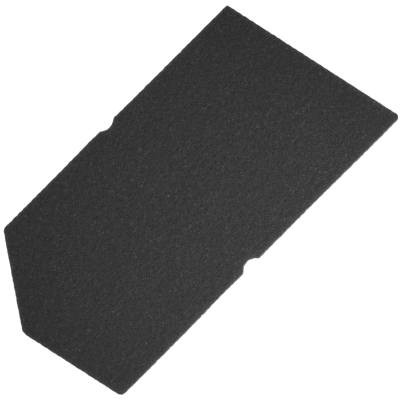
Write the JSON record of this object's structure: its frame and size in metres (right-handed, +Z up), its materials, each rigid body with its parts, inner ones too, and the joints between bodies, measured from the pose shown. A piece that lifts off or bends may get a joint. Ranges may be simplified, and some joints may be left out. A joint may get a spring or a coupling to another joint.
{
  "type": "air filter foam pad",
  "caption": "Flat die-cut pad of open-cell foam that filters the intake air of a small engine; one corner is cut off and round edge notches clear the filter case's screw bosses.",
  "frame": {"origin": "middle of the bounding box's underside: the pad lies on the plane z = 0", "axes": "+X along the two long edges, towards the end without the cut corner; +Y from the front long edge (the one with the deeper notch) to the rear one; +Z up through the thickness"},
  "size_m": [0.2122, 0.1024, 0.01],
  "materials": {
    "filter_foam": "matte"
  },
  "bodies": {
    "root": {"foam_pad": "filter_foam"}
  },
  "joints": []
}
